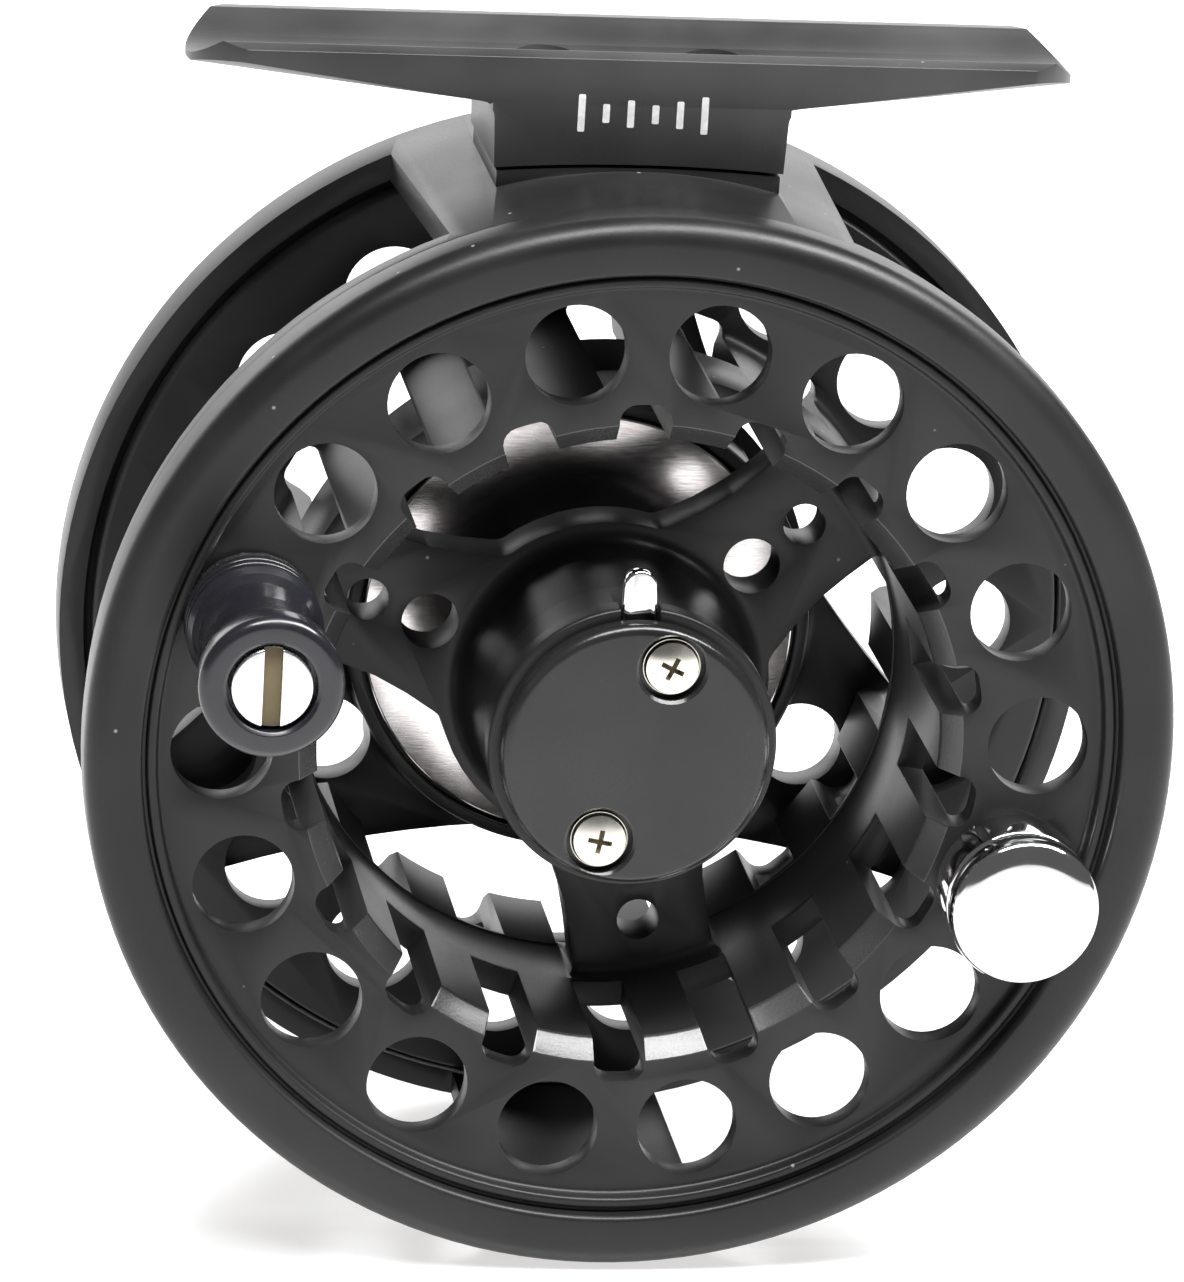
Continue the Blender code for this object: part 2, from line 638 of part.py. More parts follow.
def add_flange_holes(bm, start, end, taken=()):
    """The ring of holes; at the taken angles there is only a screw's hole."""
    for k in range(HOLE_COUNT):
        angle = PATTERN_TURN + 360.0 / HOLE_COUNT * k
        is_taken = any(round(angle - other) % 360 == 0 for other in taken)
        x, z = polar(HOLE_CIRCLE, angle)
        add_rod(bm, 1.6 if is_taken else HOLE_RADIUS, start, end, COARSE, x, z)


def latch_pocket():
    """Outline of the pocket in the hub's face: plate below, tab's channel above, spring's below."""
    half = LATCH_HALF + POCKET_PLAY
    tab = TAB_HALF + 0.25
    low = LATCH_FOOT - 0.9
    top = LATCH_SHOULDER + 0.6
    spring_left = SPRING_X - 1.1
    spring_right = SPRING_X + 1.1
    spring_low = -8.1
    return [(-half, low), (spring_left, low), (spring_left, spring_low), (spring_right, spring_low),
            (spring_right, low), (half, low), (half, top), (tab, top), (tab, HUB_RADIUS + 2.6),
            (-tab, HUB_RADIUS + 2.6), (-tab, top), (-half, top)]


def add_hub_cuts(bm):
    web_end = WEB_DEPTH + WEB_THICKNESS
    for angle in WEB_ANGLES:
        add_prism(bm, web_window(angle), WEB_DEPTH - 0.9, web_end + 1.0)
        for radius, distance in WEB_HOLES:
            x, z = polar(distance, angle)
            add_rod(bm, radius, WEB_DEPTH - 2.5, web_end + 3.0, COARSE, x, z)
    add_prism(bm, latch_pocket(), -1.0, POCKET_DEPTH)


def build_spool(look, parent):
    """One casting, kept as four sections so that each stays a simple shape."""
    end = REAR_FLANGE_DEPTH + FLANGE_THICKNESS
    sections = {}
    for name, profile in (("spool_front_flange", front_flange_profile()),
                          ("spool_rear_flange", rear_flange_profile()),
                          ("spool_arbor", arbor_profile()), ("spool_hub", hub_profile())):
        bm = bmesh.new()
        add_turned(bm, profile, FINE, start=PATTERN_TURN)
        sections[name] = make_object(name, bm, look, parent)

    cut = bmesh.new()
    add_flange_holes(cut, -5.0, 10.0, (HANDLE_ANGLE, WEIGHT_ANGLE))
    add_slots(cut, -5.0, SLOT_ENDS[0])
    apply_boolean(sections["spool_front_flange"], cut)
    cut = bmesh.new()
    add_flange_holes(cut, 20.0, end + 4.0)
    add_slots(cut, SLOT_ENDS[1], end + 4.0)
    apply_boolean(sections["spool_rear_flange"], cut)
    cut = bmesh.new()
    add_slots(cut, -5.0, SLOT_ENDS[0])
    add_slots(cut, SLOT_ENDS[1], end + 4.0)
    apply_boolean(sections["spool_arbor"], cut)

    hub = sections["spool_hub"]
    cut = bmesh.new()
    add_hub_cuts(cut)
    apply_boolean(hub, cut)
    bores = bmesh.new()
    for angle in COVER_SCREW_ANGLES.values():
        x, z = polar(COVER_SCREW_CIRCLE, angle)
        add_rod(bores, 1.0, 0.0, 8.2, COARSE, x, z)
    socket_radius, socket_length = HEX_SOCKET
    add_rod(bores, socket_radius, HUB_END - socket_length, HUB_END + 1.0, 6)
    apply_boolean(hub, bores)


def build_cover(look, metal, parent):
    profile = [(0, -0.6), (COVER_RADIUS - 0.6, -0.6), (COVER_RADIUS, 0.0), (COVER_RADIUS, 0.95),
               (0, 0.95)]
    cover = turned_object("latch_cover", profile, look, parent, BROAD)
    counterbore = [(0, -2.0), (2.15, -2.0), (2.15, 0.4), (1.0, 0.4), (1.0, 2.0), (0, 2.0)]
    cut = bmesh.new()
    for angle in COVER_SCREW_ANGLES.values():
        x, z = polar(COVER_SCREW_CIRCLE, angle)
        add_turned(cut, counterbore, MEDIUM, Matrix.Translation((x, 0.0, z)))
    apply_boolean(cover, cut)

    for name, angle in COVER_SCREW_ANGLES.items():
        x, z = polar(COVER_SCREW_CIRCLE, angle)
        place = Matrix.Translation((x, 0.0, z))
        bm = bmesh.new()
        add_turned(bm, [(0, -0.65), (1.1, -0.6), (1.9, -0.3), (1.9, 0.25), (0.8, 0.25), (0.8, 7.6),
                        (0, 7.6)], MEDIUM, place)
        screw = make_object(name, bm, metal, parent)
        recess = bmesh.new()
        add_cross(recess, 1.05, 0.4, place @ Matrix.Rotation(radians(20.0), 4, "Y"), -1.5, -0.05)
        apply_boolean(screw, recess)


def build_latch(metal, parent):
    """A plate with a keyhole round the spindle's groove, and a tab that a finger presses."""
    outline = [(-LATCH_HALF, LATCH_FOOT), (LATCH_HALF, LATCH_FOOT), (LATCH_HALF, LATCH_SHOULDER),
               (TAB_HALF, LATCH_SHOULDER)]
    outline += arc((0.0, TAB_TOP), TAB_HALF, 0.0, 180.0, 6)
    outline += [(-TAB_HALF, LATCH_SHOULDER), (-LATCH_HALF, LATCH_SHOULDER)]
    bm = bmesh.new()
    add_prism(bm, outline, *LATCH_PLATE)
    latch = make_object("release_latch", bm, metal, parent)
    hole = bmesh.new()
    add_rod(hole, 2.8, 0.0, 5.0, MEDIUM, 0.0, 0.75)
    apply_boolean(latch, hole)

    coil = bmesh.new()
    place = Matrix.Translation((SPRING_X, 2.5, 0.0)) @ UPRIGHT
    add_coil(coil, 0.75, 0.15, -7.8, LATCH_FOOT - 0.3, 4, place)
    make_object("latch_spring", coil, metal, parent)


# ---- handle and counterweight --------------------------------------------------------------
def build_handle(black, steel, brass, axis):
    """Ribbed knob that turns on a sleeve, which the slotted screw clamps to the flange."""
    end = -HANDLE_LENGTH
    knob = [
        (2.2, -13.6), (3.0, -13.6), (3.0, end + 0.3), (3.3, end), (4.2, end), (4.75, end + 0.4),
        (4.85, -14.4), (4.7, -13.3), (4.1, -11.0), (3.75, -8.0), (3.8, -5.5), (4.1, -4.0),
        (4.6, -3.4), (4.6, -2.7), (4.25, -2.4), (4.6, -2.1), (4.6, -1.4), (4.25, -1.1),
        (4.6, -0.8), (4.6, -0.2), (2.2, -0.2),
    ]
    turned_object("handle_knob", knob, black, axis, MEDIUM)
    turned_object("handle_sleeve", washer_profile(*HANDLE_SLEEVE_RADII, -13.9, 0.9), brass, axis, SMALL)
    turned_object("handle_washer", washer_profile(2.3, 4.5, 0.1, 0.8), steel, axis)
    profile = [(0, end + 0.2), (2.4, end + 0.2), (2.75, end + 0.5), (2.75, -14.1), (1.3, -14.1),
               (1.3, 5.2), (0, 5.2)]
    screw = turned_object("handle_screw", profile, steel, axis)
    slot = bmesh.new()
    add_slot(slot, 0.4, -16.0, -14.7)
    apply_boolean(screw, slot)
    turned_object("handle_nut", washer_profile(1.7, 2.9, 3.5, 5.0), steel, axis, 6)


def build_counterweight(chrome, steel, axis):
    """Domed weight with two grooves, on a screw from behind the flange."""
    wide = WEIGHT_RADIUS
    groove = WEIGHT_RADIUS - 0.4
    body = [
        (0, -6.9), (2.6, -6.8), (4.2, -6.45), (4.95, -6.0), (wide, -5.4), (wide, -4.4),
        (groove, -4.2), (groove, -3.7), (wide, -3.5), (wide, -2.7), (groove, -2.5),
        (groove, -2.0), (wide, -1.8), (wide, -0.1), (4.5, 0.1), (4.5, 0.9), (1.3, 0.9),
        (1.3, -1.6), (0, -1.6),
    ]
    turned_object("counterweight", body, chrome, axis)
    profile = [(0, -1.2), (1.1, -1.2), (1.1, 3.4), (2.4, 3.4), (2.4, 4.4), (2.0, 4.8), (0, 4.8)]
    screw = turned_object("counterweight_screw", profile, steel, axis, SMALL)
    slot = bmesh.new()
    add_slot(slot, 0.3, 4.3, 5.5)
    apply_boolean(screw, slot)


# ---- the whole reel ------------------------------------------------------------------------
def clear_scene():
    for thing in list(bpy.data.objects):
        bpy.data.objects.remove(thing)


def main():
    clear_scene()
    frame_black = new_look("frame_black", (0.035, 0.035, 0.037), 0.45, 0.6)
    spool_black = new_look("spool_black", (0.04, 0.04, 0.04), 0.5, 0.6)
    knob_black = new_look("knob_black", (0.02, 0.02, 0.025), 0.25, 0.0)
    steel = new_look("steel", (0.6, 0.6, 0.6), 0.3, 1.0)
    nickel = new_look("nickel", (0.72, 0.68, 0.58), 0.3, 1.0)
    chrome = new_look("chrome", (0.85, 0.85, 0.86), 0.06, 1.0)
    brass = new_look("brass", (0.7, 0.5, 0.2), 0.35, 1.0)
    cork = new_look("friction", (0.1, 0.09, 0.08), 0.8, 0.0)

    spindle_axis = new_empty("spindle_axis", (0.0, -FOOT_DEPTH, -SEAT_HEIGHT))
    x, z = polar(HOLE_CIRCLE, HANDLE_ANGLE)
    handle_axis = new_empty("handle_axis", (x, 0.0, z), spindle_axis)
    x, z = polar(HOLE_CIRCLE, WEIGHT_ANGLE)
    weight_axis = new_empty("counterweight_axis", (x, 0.0, z), spindle_axis)

    build_frame(frame_black, spindle_axis)
    build_foot(frame_black, spindle_axis)
    build_foot_screws(steel, spindle_axis)
    build_spindle(steel, spindle_axis)
    build_drag_stack(steel, cork, spindle_axis)
    build_rotor(steel, spindle_axis)
    build_drive_sleeve(steel, spindle_axis)
    build_knob(frame_black, steel, spindle_axis)
    build_knob_screw(steel, spindle_axis)
    build_click(steel, spindle_axis)
    build_spool(spool_black, spindle_axis)
    turned_object("hub_bushing", washer_profile(SPINDLE_RADIUS + 0.1, HUB_BORE - 0.1, 5.0, 11.0),
                  brass, spindle_axis)
    build_cover(frame_black, nickel, spindle_axis)
    build_latch(chrome, spindle_axis)
    build_handle(knob_black, steel, brass, handle_axis)
    build_counterweight(chrome, steel, weight_axis)


main()
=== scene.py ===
"""Looks of the fly reel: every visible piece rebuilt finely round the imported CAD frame.

Pieces are drawn in millimetres in the reel's own space: x to the right, depth from the plane of
the spool's front rim towards the drag knob, and z up from the spindle's axis.
"""

import json
from math import asin, atan2, cos, hypot, pi, radians, sin, sqrt, tan

import bmesh
import bpy
from mathutils import Matrix, Vector


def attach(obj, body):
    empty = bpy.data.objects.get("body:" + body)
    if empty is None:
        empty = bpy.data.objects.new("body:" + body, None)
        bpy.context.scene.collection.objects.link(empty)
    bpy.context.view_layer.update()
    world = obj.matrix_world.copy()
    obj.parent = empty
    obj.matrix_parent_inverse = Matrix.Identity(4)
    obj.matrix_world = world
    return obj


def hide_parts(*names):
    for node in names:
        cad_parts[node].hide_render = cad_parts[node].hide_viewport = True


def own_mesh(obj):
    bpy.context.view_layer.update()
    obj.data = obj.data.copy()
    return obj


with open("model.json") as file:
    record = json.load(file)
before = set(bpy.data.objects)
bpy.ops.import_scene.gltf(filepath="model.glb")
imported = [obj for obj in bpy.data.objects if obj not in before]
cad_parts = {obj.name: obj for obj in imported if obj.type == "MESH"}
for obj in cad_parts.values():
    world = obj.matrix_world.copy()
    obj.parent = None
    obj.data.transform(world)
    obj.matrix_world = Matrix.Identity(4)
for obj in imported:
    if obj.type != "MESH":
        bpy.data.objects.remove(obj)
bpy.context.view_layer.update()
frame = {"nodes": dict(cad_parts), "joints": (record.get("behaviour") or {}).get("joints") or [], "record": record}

JOINTS = {joint["name"]: joint for joint in frame["joints"]}
AXIS = Vector(JOINTS["spool_spin"]["pos_m"])        # where the reel's own space starts
TO_WORLD = Matrix.Translation(AXIS) @ Matrix.Scale(0.001, 4)
UPRIGHT = Matrix.Rotation(radians(90.0), 4, "X")    # depth axis to +Z

# ---- sizes in millimetres and degrees, as the CAD has them -----------------------------------
STEP = 20.0                     # from one hole of the pattern to the next
TURN = 1.1                      # the spool's turn at rest
HOLE_CIRCLE = 28.1
HOLE_RADIUS = 3.5
HANDLE_ANGLE = 160.0 + TURN
WEIGHT_ANGLE = -20.0 + TURN
WEB_ANGLES = [40.0 + TURN + 120.0 * k for k in range(3)]
WEB = (16.0, 20.0)
WEB_ROOT = 11.7                 # where the windows end at the hub
ARBOR = (21.5, 23.3)
FOOT_DEPTH = 20.8
FOOT_WIDTH = 13.5
FOOT_SCREW_X = 5.9
WING_ROOT = (10.2, 41.8)        # where the underside of a wing meets the post
WING_TIP = (30.8, 43.1)         # its underside at the tip
WING_SLOPES = (0.136, -0.30)    # rise along the wing, and fall inwards, of the chamfer under its edges
PLATE = (33.4, 36.3)
SCREW_CIRCLE = 6.56
SCREW_ANGLES = {"upper": 71.0, "lower": 251.0}

ROUND = 144                     # facets round the large turned pieces
SMALL = 48                      # facets round the small ones


# ---- drawing tools ---------------------------------------------------------------------------
def polar(radius, degrees):
    return (radius * cos(radians(degrees)), radius * sin(radians(degrees)))


def arc(center, radius, start, end, steps):
    """Points on an arc, both ends included; the angles are in degrees."""
    points = []
    for k in range(steps + 1):
        x, z = polar(radius, start + (end - start) * k / steps)
        points.append((center[0] + x, center[1] + z))
    return points


def softened(corners, steps=5):
    """Outline through (x, z, radius) corners, each rounded by its own radius."""
    result = []
    count = len(corners)
    for k, (x, z, radius) in enumerate(corners):
        here = Vector((x, z))
        before = Vector(corners[k - 1][:2]) - here
        after = Vector(corners[(k + 1) % count][:2]) - here
        half = before.angle(after) / 2.0
        if radius <= 0.0 or half > radians(88.0):
            result.append((x, z))
            continue
        reach = min(radius / tan(half), 0.49 * before.length, 0.49 * after.length)
        radius = reach * tan(half)
        middle = here + (before.normalized() + after.normalized()).normalized() * (radius / sin(half))
        first = here + before.normalized() * reach - middle
        last = here + after.normalized() * reach - middle
        sweep = first.angle_signed(last)
        begin = atan2(first.y, first.x)
        for s in range(steps + 1):
            angle = begin - sweep * s / steps
            result.append((middle.x + radius * cos(angle), middle.y + radius * sin(angle)))
    return result


def add_turned(bm, profile, segments, place=Matrix(), start=0.0):
    """Turn a closed outline of (radius, depth) points about the depth axis."""
    rings = []
    for radius, depth in profile:
        count = 1 if radius < 1e-6 else segments
        ring = []
        for k in range(count):
            x, z = polar(radius, start + 360.0 * k / segments)
            ring.append(bm.verts.new(place @ Vector((x, depth, z))))
        rings.append(ring)
    for ring, following in zip(rings, rings[1:] + rings[:1]):
        if len(ring) == 1 and len(following) == 1:
            continue
        for k in range(segments):
            n = (k + 1) % segments
            if len(ring) == 1:
                corners = [ring[0], following[n], following[k]]
            elif len(following) == 1:
                corners = [ring[k], ring[n], following[0]]
            else:
                corners = [ring[k], ring[n], following[n], following[k]]
            bm.faces.new(corners)


def add_prism(bm, outline, start, end, end_outline=None, place=Matrix()):
    """Extrude an (x, z) outline along the depth, to the same or to another outline."""
    near = [bm.verts.new(place @ Vector((x, start, z))) for x, z in outline]
    far = [bm.verts.new(place @ Vector((x, end, z))) for x, z in (end_outline or outline)]
    bm.faces.new(near)
    bm.faces.new(list(reversed(far)))
    for k in range(len(near)):
        n = (k + 1) % len(near)
        bm.faces.new([near[n], near[k], far[k], far[n]])


def add_drill(bm, radius, start, end, x=0.0, z=0.0, segments=SMALL):
    """A round cutter along the depth axis, centred at x, z."""
    profile = [(0, start), (radius, start), (radius, end), (0, end)]
    add_turned(bm, profile, segments, Matrix.Translation((x, 0.0, z)))


def new_piece(name, bm):
    """Object from a bmesh drawn in the reel's own space."""
    bmesh.ops.recalc_face_normals(bm, faces=bm.faces)
    bm.transform(TO_WORLD)
    mesh = bpy.data.meshes.new(name)
    bm.to_mesh(mesh)
    bm.free()
    piece = bpy.data.objects.new(name, mesh)
    bpy.context.scene.collection.objects.link(piece)
    return piece


def bake_modifiers(piece):
    """Turn what the piece's modifiers make into its mesh."""
    graph = bpy.context.evaluated_depsgraph_get()
    mesh = bpy.data.meshes.new_from_object(piece.evaluated_get(graph))
    piece.modifiers.clear()
    piece.data = mesh


def carve(piece, tool_bm, operation="DIFFERENCE"):
    """Cut, join or intersect a piece with the shapes in tool_bm."""
    tool = new_piece("tool", tool_bm)
    modifier = piece.modifiers.new("carve", "BOOLEAN")
    modifier.operation = operation
    modifier.object = tool
    bake_modifiers(piece)
    bpy.data.objects.remove(tool)


def merge_flat(piece):
    """Dissolve the lines that cuts leave across flat faces."""
    bm = bmesh.new()
    bm.from_mesh(piece.data)
    bmesh.ops.remove_doubles(bm, verts=bm.verts, dist=2e-6)
    bmesh.ops.dissolve_limit(bm, angle_limit=radians(0.2), verts=bm.verts, edges=bm.edges)
    bm.to_mesh(piece.data)
    bm.free()


def ease_edges(piece, width, segments=2, angle=35.0, looks=()):
    """Round every sharp edge by a small radius, in millimetres. The last look goes on the rounding: where looks
    are given, a lighter, glossier look that stands for rubbed edges and for a painted highlight.
    """
    merge_flat(piece)
    for look in looks:
        piece.data.materials.append(look)
    modifier = piece.modifiers.new("ease", "BEVEL")
    modifier.width = width * 0.001
    modifier.segments = segments
    modifier.limit_method = "ANGLE"
    modifier.angle_limit = radians(angle)
    modifier.use_clamp_overlap = True
    modifier.miter_outer = "MITER_ARC"
    modifier.harden_normals = False
    modifier.material = len(looks) - 1
    bake_modifiers(piece)


def finish_piece(piece, look, body, nodes=(), smooth=32.0):
    """Shade the piece, give it look unless it has its looks, hide its CAD nodes and tie it to its body."""
    piece.data.shade_smooth()
    piece.data.set_sharp_from_angle(angle=radians(smooth))
    if not piece.data.materials:
        piece.data.materials.append(look)
    if nodes:
        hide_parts(*nodes)
    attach(piece, body)
    return piece


def repaint_faces(piece, look, is_chosen):
    """Give another look to the faces whose middles, in the reel's own space, are chosen."""
    piece.data.materials.append(look)
    to_reel = TO_WORLD.inverted()
    for face in piece.data.polygons:
        if is_chosen(to_reel @ face.center):
            face.material_index = len(piece.data.materials) - 1


def inside_bore(x, z, radius, start, end):
    """Test for the points within a round space that runs along the depth axis."""
    return lambda point: hypot(point.x - x, point.z - z) < radius and start < point.y < end


def turned_piece(name, profile, segments=SMALL, place=Matrix()):
    bm = bmesh.new()
    add_turned(bm, profile, segments, place)
    return new_piece(name, bm)


# ---- materials -------------------------------------------------------------------------------
class Finish:
    """A material under construction: its nodes, and its Principled shader."""

    def __init__(self, name, colour, roughness, metallic):
        self.material = bpy.data.materials.new(name)
        self.material.use_nodes = True
        self.material.diffuse_color = (*colour, 1.0)
        self.tree = self.material.node_tree
        self.shader = self.tree.nodes["Principled BSDF"]
        self.shader.inputs["Base Color"].default_value = (*colour, 1.0)
        self.shader.inputs["Roughness"].default_value = roughness
        self.shader.inputs["Metallic"].default_value = metallic
        self.place = self.node("ShaderNodeTexCoord").outputs["Object"]

    def node(self, kind, **values):
        """New node; the keywords set its inputs by name or its own settings."""
        made = self.tree.nodes.new(kind)
        for key, value in values.items():
            label = key.replace("_", " ")
            if label in made.inputs:
                self.set(made.inputs[label], value)
            else:
                setattr(made, key, value)
        return made

    def set(self, socket, value):
        if isinstance(value, bpy.types.NodeSocket):
            self.tree.links.new(value, socket)
        else:
            socket.default_value = value

    def noise(self, scale, detail=3.0, stretch=None):
        place = self.place
        if stretch:
            place = self.node("ShaderNodeMapping", Vector=place, Scale=stretch).outputs["Vector"]
        return self.node("ShaderNodeTexNoise", Vector=place, Scale=scale, Detail=detail).outputs["Fac"]

    def remap(self, value, low, high, new_low, new_high):
        made = self.node("ShaderNodeMapRange", Value=value)
        for key, number in zip(("From Min", "From Max", "To Min", "To Max"), (low, high, new_low, new_high)):
            made.inputs[key].default_value = number
        return made.outputs["Result"]

    def math(self, operation, first, second):
        made = self.node("ShaderNodeMath", operation=operation)
        self.set(made.inputs[0], first)
        self.set(made.inputs[1], second)
        return made.outputs[0]

    def mix(self, factor, first, second):
        made = self.node("ShaderNodeMix", data_type="RGBA")
        self.set(made.inputs["Factor"], factor)
        self.set(made.inputs[6], first)
        self.set(made.inputs[7], second)
        return made.outputs[2]

    def bump(self, height, distance, strength=1.0, below=None):
        made = self.node("ShaderNodeBump", Height=height, Distance=distance, Strength=strength)
        if below:
            self.set(made.inputs["Normal"], below)
        return made.outputs["Normal"]


def anodised(name, colour, roughness, specks=0.3, gloss=0.3):
    """Bead-blasted, dyed aluminium: fine grain, cloudy sheen and a few grains of dust."""
    look = Finish(name, colour, roughness, 0.0)
    clouds = look.noise(70.0, 4.0)
    grain = look.noise(5200.0, 2.0)
    lighter = [min(1.0, c * 1.45) for c in colour]
    darker = [c * 0.72 for c in colour]
    tone = look.mix(look.remap(clouds, 0.35, 0.65, 0.0, 1.0), (*darker, 1.0), (*lighter, 1.0))
    cells = look.node("ShaderNodeTexVoronoi", Vector=look.place, Scale=620.0)
    near = look.remap(cells.outputs["Distance"], 0.05, 0.10, 1.0, 0.0)
    chosen = look.node("ShaderNodeSeparateColor", Color=cells.outputs["Color"]).outputs["Red"]
    dust = look.math("MULTIPLY", near, look.math("GREATER_THAN", chosen, 1.0 - 0.16 * specks))
    tone = look.mix(look.math("MULTIPLY", dust, 0.55), tone, (0.42, 0.42, 0.43, 1.0))
    look.set(look.shader.inputs["Base Color"], tone)
    rough = look.remap(look.math("ADD", clouds, look.math("MULTIPLY", grain, 0.35)), 0.45, 0.9,
                       roughness - 0.05, roughness + 0.07)
    look.set(look.shader.inputs["Roughness"], rough)
    look.set(look.shader.inputs["Normal"], look.bump(grain, 0.000012, 0.55))
    look.shader.inputs["Specular IOR Level"].default_value = gloss
    return look.material


def brushed(name, colour, roughness, stretch, blotch=0.0):
    """Bare metal with fine lines along one direction, and stains where blotch asks for them."""
    look = Finish(name, colour, roughness, 1.0)
    lines = look.noise(900.0, 3.0, stretch)
    stains = look.noise(190.0, 5.0)
    dull = [c * (1.0 - 0.55 * blotch) for c in colour]
    tone = look.mix(look.remap(stains, 0.40, 0.62, 0.0, 1.0), (*dull, 1.0), (*colour, 1.0))
    look.set(look.shader.inputs["Base Color"], tone)
    look.set(look.shader.inputs["Roughness"], look.remap(lines, 0.3, 0.7, roughness * 0.8, roughness * 1.3))
    look.set(look.shader.inputs["Normal"], look.bump(lines, 0.000006, 0.5))
    return look.material


def polished(name, colour, roughness, metallic, coat=0.0):
    """Mirror or moulded gloss with faint handling marks."""
    look = Finish(name, colour, roughness, metallic)
    marks = look.noise(260.0, 5.0)
    rough = look.remap(marks, 0.35, 0.75, roughness, roughness * 2.2 + 0.03)
    look.set(look.shader.inputs["Roughness"], rough)
    ripple = look.noise(120.0, 1.0)
    look.set(look.shader.inputs["Normal"], look.bump(ripple, 0.00001, 0.25))
    look.shader.inputs["Coat Weight"].default_value = coat
    look.shader.inputs["Coat Roughness"].default_value = 0.08
    return look.material


def paint(name, colour):
    look = Finish(name, colour, 0.5, 0.0)
    wear = look.noise(1400.0, 3.0)
    dull = [c * 0.82 for c in colour]
    look.set(look.shader.inputs["Base Color"],
             look.mix(look.remap(wear, 0.42, 0.6, 0.0, 1.0), (*dull, 1.0), (*colour, 1.0)))
    look.set(look.shader.inputs["Normal"], look.bump(wear, 0.00001, 0.5))
    return look.material


# ---- the spool -------------------------------------------------------------------------------
def spool_profile():
    """(radius, depth, rounding) of hub, web, arbor, flanges and rolled front rim."""
    return softened([
        (4.2, 3.8, 0), (4.2, 24.0, 0.2), (9.6, 24.0, 0.5), (9.9, 20.0, 1.6),
        (ARBOR[0], WEB[1], 0.5), (ARBOR[0], 31.0, 0.3), (22.3, 32.0, 0.3),
        (34.9, 32.0, 0.35), (34.9, 30.0, 0.35), (ARBOR[1], 30.0, 0.9),
        (ARBOR[1], 3.2, 0.9), (35.6, 3.2, 0.3), (36.0, 3.6, 0.2), (37.5, 3.6, 0.25),
        (37.5, -0.95, 1.9), (33.62, -0.72, 0.42), (33.6, 0.5, 0.1), (33.3, 0.5, 0.1),
        (33.25, 0.15, 0.28), (32.6, 0.15, 0.28), (32.5, 1.2, 0.35), (22.85, 1.2, 0.12), (ARBOR[0], 2.55, 0.5),
        (ARBOR[0], WEB[0], 0.9), (10.4, WEB[0], 1.2), (9.9, 13.6, 2.0), (9.4, 8.0, 3.0),
        (9.4, 3.25, 0.1), (9.95, 3.05, 0.15), (9.95, 1.2, 0.3), (4.6, 1.2, 0.1), (4.6, 3.8, 0),
    ], 6)


def web_window(angle):
    """Window from the web at angle to the next one, with waisted sides and soft corners."""
    side = [(12.8, 5.45), (15.4, 5.0), (17.9, 4.95)]
    reach = ARBOR[0] + 0.1
    near_turn = Matrix.Rotation(radians(angle), 2)
    far_turn = Matrix.Rotation(radians(angle + 120.0), 2)
    corners = [(*(near_turn @ Vector(point)), 1.5) for point in side]
    edge = asin(5.05 / reach) * 180.0 / pi
    rim = arc((0.0, 0.0), reach, angle + edge, angle + 120.0 - edge, 24)
    corners += [(x, z, 1.9 if k in (0, 24) else 0.0) for k, (x, z) in enumerate(rim)]
    corners += [(*(far_turn @ Vector((along, -across))), 1.5) for along, across in reversed(side)]
    foot = arc((0.0, 0.0), WEB_ROOT, angle + 120.0 - 32.0, angle + 32.0, 8)
    corners += [(x, z, 1.5 if k in (0, 8) else 0.0) for k, (x, z) in enumerate(foot)]
    return softened(corners, 4)


def slot_outline():
    """Cross-section of one arbor slot, pointing along +x and ended by a soft notch."""
    half = 1.8
    top = ARBOR[1] + 0.95
    low = ARBOR[0] - 1.0
    return softened([(low, -half, 0), (top, -half, 1.2), (top, half, 1.2), (low, half, 0)], 5)


def is_taken(angle):
    """True where the handle or the counterweight stands instead of a hole."""
    return min(abs(angle - HANDLE_ANGLE) % 360.0, abs(angle - WEIGHT_ANGLE - 360.0) % 360.0) < 1.0


def is_arbor_mouth(point):
    """True on the chamfer round the arbor's mouth."""
    return 21.4 < hypot(point.x, point.z) < 23.0 and 1.15 < point.y < 2.7


def build_spool(look, edge_wear_and_highlight_look):
    bm = bmesh.new()
    add_turned(bm, spool_profile(), ROUND, start=TURN)
    spool = new_piece("spool_body", bm)

    cuts = bmesh.new()
    for k in range(18):
        angle = TURN + STEP * k
        x, z = polar(HOLE_CIRCLE, angle)
        start = 20.0 if is_taken(angle) else -5.0       # only the rear flange, or both flanges
        add_drill(cuts, HOLE_RADIUS, start, 36.0, x=x, z=z)
        slot = Matrix.Rotation(radians(-angle - STEP / 2.0), 4, "Y")
        add_prism(cuts, slot_outline(), -5.0, 13.7, place=slot)
        add_prism(cuts, slot_outline(), 22.0, 36.0, place=slot)
    for angle in WEB_ANGLES:
        add_prism(cuts, web_window(angle), WEB[0] - 1.6, WEB[1] + 1.6)
        for radius, distance in ((2.0, 13.2), (1.5, 17.9)):
            x, z = polar(distance, angle)
            add_drill(cuts, radius, WEB[0] - 4.0, WEB[1] + 3.0, x=x, z=z, segments=32)
    cavity = [(-4.2, -4.9), (0.2, -4.9), (0.2, -8.1), (2.4, -8.1), (2.4, -4.9), (4.2, -4.9),
              (4.2, 4.9), (1.4, 4.9), (1.4, 12.0), (-1.4, 12.0), (-1.4, 4.9), (-4.2, 4.9)]
    add_prism(cuts, cavity, -1.0, 3.75)
    carve(spool, cuts)
    ease_edges(spool, 0.16, looks=(look, edge_wear_and_highlight_look))
    finish_piece(spool, look, "spool",
                 ["spool_front_flange", "spool_arbor", "spool_rear_flange", "spool_hub"])
    # The chamfer round the arbor's mouth gets the lighter edge look: a painted highlight along with edge wear.
    repaint_faces(spool, edge_wear_and_highlight_look, is_arbor_mouth)


